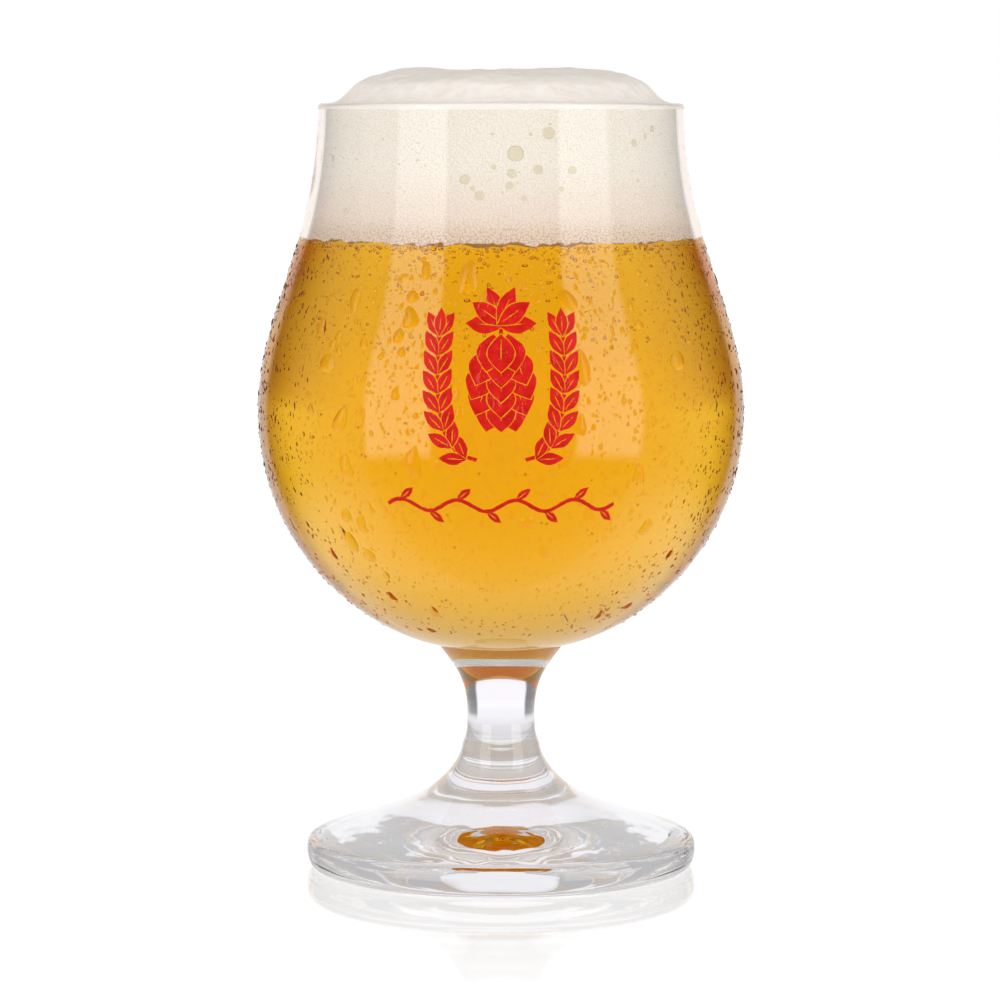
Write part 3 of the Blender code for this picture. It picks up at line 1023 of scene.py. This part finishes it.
def dome_faces(segments, rings):
    """Faces of a closed shape with a top point, some rings of points below each other and a bottom point."""
    faces = []
    bottom = 1 + rings * segments
    for k in range(segments):
        n = (k + 1) % segments
        faces.append((0, 1 + k, 1 + n))
        for ring in range(rings - 1):
            upper, lower = 1 + ring * segments, 1 + (ring + 1) * segments
            faces.append((upper + k, lower + k, lower + n, upper + n))
        last = 1 + (rings - 1) * segments
        faces.append((last + n, last + k, bottom))
    return faces


def shells(name, shapes, material, sharp=math.pi):
    """One mesh of many small closed shapes, with sharp edges from an angle on."""
    points, faces, start = [], [], 0
    for shape_points, shape_faces in shapes:
        points.append(shape_points)
        faces += [tuple(corner + start for corner in face) for face in shape_faces]
        start += len(shape_points)
    mesh = new_mesh(name, np.concatenate(points), faces, material)
    mesh.shade_smooth()
    mesh.set_sharp_from_angle(angle=sharp)
    return mesh


def drop(rng, angle, height, size, segments, rings):
    """A drop of dew on the outside of the bowl: irregular, drawn out down, with its foot in the glass."""
    middle, sideways, upward, outward = surface_frame(OUTSIDE, angle, height)
    stretch = DROP_LENGTH + DROP_STRETCH * rng.random() ** CROWDING
    tilt = rng.normal(0, DROP_TILT)
    turns = np.linspace(0, 2 * math.pi, segments, endpoint=False)
    edge = np.ones(segments)
    for wave in DROP_WAVES:
        edge += DROP_UNEVEN / wave * rng.normal() * np.cos(wave * turns + rng.uniform(0, 2 * math.pi))
    x = np.cos(turns) * edge
    y = np.sin(turns) * edge * stretch
    x *= 1 - DROP_TAPER * y / stretch
    x, y = x * math.cos(tilt) - y * math.sin(tilt), x * math.sin(tilt) + y * math.cos(tilt)
    spread = np.outer(x, sideways) + np.outer(y, upward)
    rise = size * rng.uniform(*DROP_RISE)
    crest = -DROP_SAG * size * upward
    points = [middle + outward * rise + crest]
    for share in np.sin(np.linspace(0, math.pi / 2, rings + 1)[1:]):
        high = rise * (1 - share**DROP_FLATNESS)
        ring = middle + (1 - share) * crest + outward * high
        points += list(ring + size * share * spread)
    sole = middle - outward * DROP_DEPTH
    points += list(sole + size * spread)
    points.append(sole)
    return np.array(points), dome_faces(segments, rings + 1)


def scattered(rng, count, sizes, heights, weight, taken):
    """Places for round things on the bowl that keep clear of those taken: angle, height and size.

    taken holds a row of x, y, z and size for each, and is given back with the new rows.
    """
    places = []
    tries = 0
    while len(places) < count and tries < PLACE_TRIES * count:
        tries += 1
        height = rng.uniform(*heights)
        angle = rng.uniform(0, 2 * math.pi)
        share = weight(angle, height)
        if rng.random() > share:
            continue
        size = sizes[0] + (sizes[1] - sizes[0]) * share * rng.random() ** CROWDING
        radius = radius_at(OUTSIDE, height)
        spot = np.array((radius * math.cos(angle), radius * math.sin(angle), height, size))
        gaps = np.linalg.norm(taken[:, :3] - spot[:3], axis=1) - DROP_SPACING * (taken[:, 3] + size)
        if np.any(gaps < 0):
            continue
        taken = np.vstack((taken, spot))
        places.append((angle, height, size))
    return places, taken


def dew_weight(angle, height):
    """Share of the dew at a place: most in front and under the foam line, little at the stem and neck."""
    facing = DEW_ASIDE - DEW_SWING * math.sin(angle)
    if height > BEER_Z:
        return DEW_ON_NECK * facing
    share = min(max((height - KNUCKLE_Z) / (BELLY_Z - KNUCKLE_Z), 0), 1)
    return facing * (DEW_AT_STEM + (1 - DEW_AT_STEM) * share**DEW_FADE)


def draws_out(angle):
    """Whether the drink, as a lens, would draw a small thing at this angle behind it out to a streak."""
    return math.sin(angle) > 0 and STREAK_BAND[0] < abs(math.cos(angle)) < STREAK_BAND[1]


def drop_limit(size):
    """The largest sine of a drop's angle: large drops only gather in front."""
    if size < SMALL_DROP:
        return 1
    return DROP_FRONT if size < LARGE_DROP else LARGE_DROP_FRONT


def make_dew(rng):
    water, base = water_material(), drop_base_material()
    taken = np.empty((0, 4))
    for name, count, sizes, top, segments, rings in DROP_SORTS:
        heights = (DEW_LOW, min(top, DEW_HIGH))
        places, taken = scattered(rng, count, sizes, heights, dew_weight, taken)
        shapes = []
        for angle, height, size in places:
            if math.sin(angle) < drop_limit(size) and not draws_out(angle):
                shapes.append(drop(rng, angle, height, size, segments, rings))
        mesh = shells(name, shapes, water, SHARP_EDGE)
        mesh.materials.append(base)
        slots = [0] * (rings + 1) + [1]
        mesh.polygons.foreach_set("material_index", slots * segments * len(shapes))
        new_piece(mesh, "glass")


def make_bubbles(rng):
    """Gas bubbles: a dense belt under the foam, a row on the foam line and strays below."""
    wall = moved_in(INSIDE, BEER_GAP)
    shapes = []
    for count, (small, large), (high, low), (near, deep) in BUBBLE_SORTS:
        for _ in range(count):
            size = small + (large - small) * rng.random() ** CROWDING
            below = high + (low - high) * rng.random() ** BUBBLE_CROWDING
            height = max(BEER_Z - size - below, FLOOR_Z + 2 * size)
            depth = size + near + (deep - near) * rng.random() ** CROWDING
            angle = rng.uniform(0, 2 * math.pi)
            if draws_out(angle):
                continue
            at, *ways = surface_frame(wall, angle, height)
            frame_at = (at - depth * ways[2], *ways)
            shapes.append(ball(frame_at, (size, size, size), *BEER_BUBBLE_MESH))
    new_piece(shells("beer_bubbles", shapes, gas_material()), "beer")


# The print: flat outlines of (across, up), painted over each other and wrapped on the bowl


def leaf(base, length, width, angle):
    """A pointed leaf that grows from its base at an angle."""
    base = np.array(base)
    along = polar(1, angle)
    across = np.array((-along[1], along[0]))
    share = np.linspace(0, 1, LEAF_POINTS + 2)
    half = width / 2 * np.sin(math.pi * share)
    edge = [base + along * length * s + across * h for s, h in zip(share, half)]
    back = [base + along * length * s - across * h for s, h in zip(share, half)]
    return edge + back[-2:0:-1]


def veined_leaf(base, length, width, angle):
    """A leaf in ink with a bare line round it and a bare vein along its middle."""
    base = np.array(base)
    start = base - polar(PRINT_LINE, angle)
    vein = base + polar(length * VEIN_START, angle)
    return [
        (leaf(start, length + 2 * PRINT_LINE, width + 2 * PRINT_LINE, angle), False),
        (leaf(base, length, width, angle), True),
        (leaf(vein, length * VEIN_SHARE, PRINT_LINE, angle), False),
    ]


def band(path, width):
    """A stroke of even width along a path."""
    path = np.array(path)
    along = np.gradient(path, axis=0)
    along /= np.linalg.norm(along, axis=1)[:, None]
    across = np.stack((-along[:, 1], along[:, 0]), axis=1) * width / 2
    return [*(path + across), *(path - across)[::-1]]


def even_steps(path, count):
    """Points at even distances along a path."""
    path = np.array(path)
    lengths = np.concatenate(([0], np.cumsum(np.linalg.norm(np.diff(path, axis=0), axis=1))))
    places = np.linspace(0, lengths[-1], count)
    return np.stack([np.interp(places, lengths, column) for column in path.T], axis=1)


def grain_reach():
    return GRAIN_LENGTH * math.sin(GRAIN_ANGLE) + GRAIN_WIDTH / 2


def hop_layers():
    """A hop cone of lapped bracts, painted from its tip up, under a stalk with two leaves."""
    half = HOP_LENGTH / 2
    layers = [(band([(0, 0), (0, half + HOP_STALK_LENGTH)], STALK_WIDTH), True)]
    rows = round((HOP_LENGTH - HOP_BRACT_LENGTH) / HOP_BRACT_STEP) + 1
    for row in reversed(range(rows)):
        height = half - (HOP_LENGTH - HOP_BRACT_LENGTH) * row / (rows - 1)
        swell = math.sin(math.pi * (row + 1) / (rows + 1))
        for side in (-1, 1, 0):
            base = (side * swell * HOP_BRACT_WIDTH / 2, height)
            lean = side * swell * HOP_BRACT_LEAN
            layers += veined_leaf(base, HOP_BRACT_LENGTH, HOP_BRACT_WIDTH, lean - math.pi / 2)
    for side in (-1, 1):
        for turn in (HOP_LOBE_ANGLE, -HOP_LOBE_ANGLE, 0):
            angle = math.pi / 2 - side * (HOP_LEAF_ANGLE + turn)
            base = (-side * STALK_WIDTH, half + HOP_STALK_LENGTH / 3)
            layers += veined_leaf(base, HOP_LEAF_LENGTH, HOP_LEAF_WIDTH, angle)
    return layers


def hop_half_width():
    return max(abs(point[0]) for outline, ink in hop_layers() if ink for point in outline)


def ear_root_height():
    return -HOP_LENGTH / 2 - PRINT_SPACE - grain_reach()


def ear_layers(side):
    """A barley ear that bows up beside the hop cone, with grains in pairs along its stalk."""
    reach = grain_reach()
    clear = hop_half_width() + PRINT_SPACE + reach
    low = ear_root_height()
    high = low + EAR_LENGTH
    near = reach + PRINT_SPACE / 2
    bow = curve((near, low), (clear, low), (clear, low + EAR_LENGTH / 2), (clear, high), BOW_POINTS)
    path = even_steps(bow, EAR_GRAINS + 1) * (side, 1)
    layers = [(band(path, STALK_WIDTH), True)]
    steps = np.gradient(path, axis=0)
    for point, step in zip(path[1:], steps[1:]):
        heading = math.atan2(step[1], step[0])
        for turn in (-GRAIN_ANGLE, GRAIN_ANGLE):
            layers += veined_leaf(point - step / 2, GRAIN_LENGTH, GRAIN_WIDTH, heading + turn)
    layers += veined_leaf(path[-1] - steps[-1] / 2, GRAIN_LENGTH, GRAIN_WIDTH, heading)
    return layers


def vine_layers():
    """A waving vine under the barley ears, with a leaf at every crest and trough."""
    leaf_reach = VINE_LEAF_LENGTH * math.sin(VINE_LEAF_ANGLE) + VINE_LEAF_WIDTH / 2
    height = ear_root_height() - grain_reach() - VINE_SPACE - leaf_reach - VINE_RISE
    across = np.linspace(-VINE_LENGTH / 2, VINE_LENGTH / 2, VINE_WAVES * WAVE_POINTS + 1)
    phase = 2 * math.pi * VINE_WAVES * across / VINE_LENGTH
    path = np.stack((across, height + VINE_RISE * np.sin(phase)), axis=1)
    layers = [(band(path, STALK_WIDTH), True)]
    for index in range(WAVE_POINTS // 4, len(path), WAVE_POINTS // 2):
        turn = math.copysign(VINE_LEAF_ANGLE, path[index][1] - height)
        layers += veined_leaf(path[index], VINE_LEAF_LENGTH, VINE_LEAF_WIDTH, turn)[1:]
    return layers


def holds(outline, spots):
    """Which spots lie inside a closed outline."""
    x, y = spots.T
    inside_it = np.zeros(len(spots), bool)
    for (x0, y0), (x1, y1) in zip(outline, np.roll(outline, -1, axis=0)):
        if y0 != y1:
            crosses = (y0 > y) != (y1 > y)
            inside_it ^= crosses & (x < (x1 - x0) * (y - y0) / (y1 - y0) + x0)
    return inside_it


def printed(name, layers, rng, material):
    """A sheet of enamel where the last layer painted on a spot is ink, bent round the bowl."""
    points, loops, rough_layers = [], [], []
    for outline, ink in layers:
        rough = np.array(outline) + rng.normal(0, PRINT_ROUGHNESS, (len(outline), 2))
        rough_layers.append((rough, ink))
        loops.append(list(range(len(points), len(points) + len(rough))))
        points += [Vector(point) for point in rough]
    across, up = np.array(points).T
    for x in np.arange(across.min(), across.max(), PRINT_MESH_SIZE):
        points += [Vector((x, y)) for y in np.arange(up.min(), up.max(), PRINT_MESH_SIZE)]
    sheet = delaunay_2d_cdt(points, [], loops, 1, MERGE_DISTANCE)
    middles = np.array([np.mean([sheet[0][i] for i in face], axis=0) for face in sheet[2]])
    inked = np.zeros(len(middles), bool)
    for outline, ink in rough_layers:
        inked[holds(outline, middles)] = ink
    shape = bmesh.new()
    corners = [shape.verts.new((*point, 0)) for point in sheet[0]]
    for face in np.flatnonzero(inked):
        shape.faces.new([corners[i] for i in sheet[2][face]])
    bmesh.ops.delete(shape, geom=[v for v in shape.verts if not v.link_faces], context="VERTS")
    raised = bmesh.ops.extrude_face_region(shape, geom=shape.faces[:], use_keep_orig=True)
    for item in raised["geom"]:
        if isinstance(item, bmesh.types.BMVert):
            item.co.z = 2 * ENAMEL
    for corner in shape.verts:
        x, y, depth = corner.co
        height = BELLY_Z + PRINT_RISE + y
        radius = radius_at(OUTSIDE, height) - ENAMEL + depth
        angle = x / BELLY_RADIUS - math.pi / 2
        corner.co = (*polar(radius, angle), height)
    bmesh.ops.recalc_face_normals(shape, faces=shape.faces[:])
    mesh = bpy.data.meshes.new(name)
    shape.to_mesh(mesh)
    shape.free()
    mesh.materials.append(material)
    return mesh


def make_print(rng):
    enamel = enamel_material()
    sheets = {
        "print_hop": hop_layers(),
        "print_barley_left": ear_layers(-1),
        "print_barley_right": ear_layers(1),
        "print_vine": vine_layers(),
    }
    for node, layers in sheets.items():
        new_piece(printed(f"{node}_enamel", layers, rng, enamel), "print", node)


# Surroundings


def make_world():
    """A white backdrop, white panels with dark corners between them, and softboxes that only mirrors see."""
    world = bpy.data.worlds.new("studio")
    bpy.context.scene.world = world
    world.use_nodes = True
    tree = world.node_tree
    tree.nodes.clear()
    parts = axes(add(tree, "TexCoord").outputs["Generated"])
    front = times(parts["Y"], -1.0)
    turn = turn_from_front(parts)
    rise = math_node("ARCSINE", parts["Z"])
    path = light_path(tree)

    def step(value, start, end, low=0.0, high=1.0):
        return smooth_step(value, math.radians(start), math.radians(end), low, high)

    def within(value, start, full, still_full, end):
        return times(step(value, start, full), step(value, end, still_full))

    twist = times(math_node("SIGN", parts["X"]), -BOX_TWIST)
    box_turn = math_node("ADD", turn, twist)
    box = times(within(box_turn, *BOX_TURN), within(rise, *BOX_RISE))
    backdrop = times(within(turn, *BACKDROP_TURN), within(rise, *BACKDROP_RISE))
    table = times(step(rise, *TABLE_RISE), smooth_step(front, *TABLE_FRONT))
    lights = (
        (box, BOX_LEVEL),
        (within(turn, *SIDE_TURN), SIDE_LEVEL),
        (backdrop, step(turn, *BACKDROP_FULL, BACKDROP_MIRRORED, 1.0)),
        (table, TABLE_LEVEL),
    )
    mirrored = MIRROR_DARK
    for share, level in lights:
        mirrored = math_node("MULTIPLY_ADD", share, level, mirrored)

    drink = through_drink(path)
    drink_level = step(rise, *OVERHEAD_RISE, BACKDROP, OVERHEAD * BACKDROP)
    through_level = mix_numbers(drink, CLEAR_BACKDROP, drink_level)
    through_tone = mix_colours(drink, clear_tones(path, turn), drink_tones(turn))
    edge = times(within(turn, *EDGE_TURN), within(rise, *EDGE_RISE))
    mirror_tone = mix_colours(times(edge, path["Is Glossy Ray"]), WHITE, EDGE_TONE)
    tone = mix_colours(path["Is Transmission Ray"], mirror_tone, through_tone)
    level = mix_numbers(path["Is Glossy Ray"], FILL, mirrored)
    level = mix_numbers(path["Is Transmission Ray"], level, through_level)
    level = mix_numbers(path["Is Camera Ray"], level, 1.0)
    light = add(tree, "Background", {"Color": tone, "Strength": level})
    end_with(light, "OutputWorld")


def make_floor():
    corners = ((-1, -1), (1, -1), (1, 1), (-1, 1))
    points = [(x * FLOOR_HALF, y * FLOOR_HALF, 0) for x, y in corners]
    floor = linked(new_mesh("floor", points, [(0, 1, 2, 3)], floor_material()), "glossy")
    floor.location.z = -FLOOR_BELOW


def card_material():
    """A painted reflection of the lit table, as a mirror above it would see it: a glow that only mirrors
    see; every other ray passes.
    """
    material, tree = new_material("mirror_card")
    depth = axes(place(tree))["Y"]
    level = smooth_step(depth, *CARD_REACH, CARD_FRONT, TABLE_LEVEL)
    lit = add(tree, "Emission", {"Color": WHITE, "Strength": level})
    facing = math_node("SUBTRACT", 1.0, backfacing(tree))
    seen = times(mirror_rays(light_path(tree)), facing)
    end_with(mix_shaders(seen, add(tree, "BsdfTransparent"), lit))
    return material


def make_card():
    """A ring round the stem that keeps the mirror image of the foot out of the bowl, with a painted
    reflection of the lit table in its place.
    """
    outline = [(CARD_HOLE, CARD_Z), (FOOT_RADIUS, CARD_Z)]
    mesh = turned("mirror_card", outline, (card_material(),))
    card = linked(mesh, "camera", "diffuse", "shadow", "transmission")


def make_lamp(name, turn, power):
    data = bpy.data.lights.new(name, "AREA")
    data.shape = "RECTANGLE"
    data.size, data.size_y = LAMP_SIZE
    data.energy = power
    level = math.cos(LAMP_RISE)
    away = Vector((math.sin(turn) * level, -math.cos(turn) * level, math.sin(LAMP_RISE)))
    lamp = linked(data, "camera", "glossy", "transmission")
    lamp.location = Vector((0, 0, BELLY_Z)) + LAMP_DISTANCE * away
    lamp.rotation_euler = away.to_track_quat("Z", "Y").to_euler()


def make_camera():
    data = bpy.data.cameras.new("camera")
    data.lens = LENS
    data.sensor_width = SENSOR
    data.clip_start = CAMERA_NEAR
    camera = linked(data)
    camera.location = CAMERA_AT
    camera.rotation_euler = (math.pi / 2 - CAMERA_PITCH, 0, 0)
    bpy.context.scene.camera = camera


def main():
    scene = bpy.context.scene
    scene.view_settings.view_transform = "Standard"
    scene.cycles.max_bounces = BOUNCES
    scene.cycles.glossy_bounces = BOUNCES
    scene.cycles.transmission_bounces = BOUNCES
    scene.cycles.transparent_max_bounces = BOUNCES
    make_camera()
    make_world()
    make_floor()
    make_card()
    make_lamp("softbox_left", -LAMP_TURN, LEFT_LAMP)
    make_lamp("softbox_right", LAMP_TURN, RIGHT_LAMP)
    rng = np.random.default_rng(SEED)
    make_glass()
    make_beer()
    make_foam()
    make_foam_bubbles(rng)
    make_print(rng)
    make_dew(rng)
    make_bubbles(rng)


main()
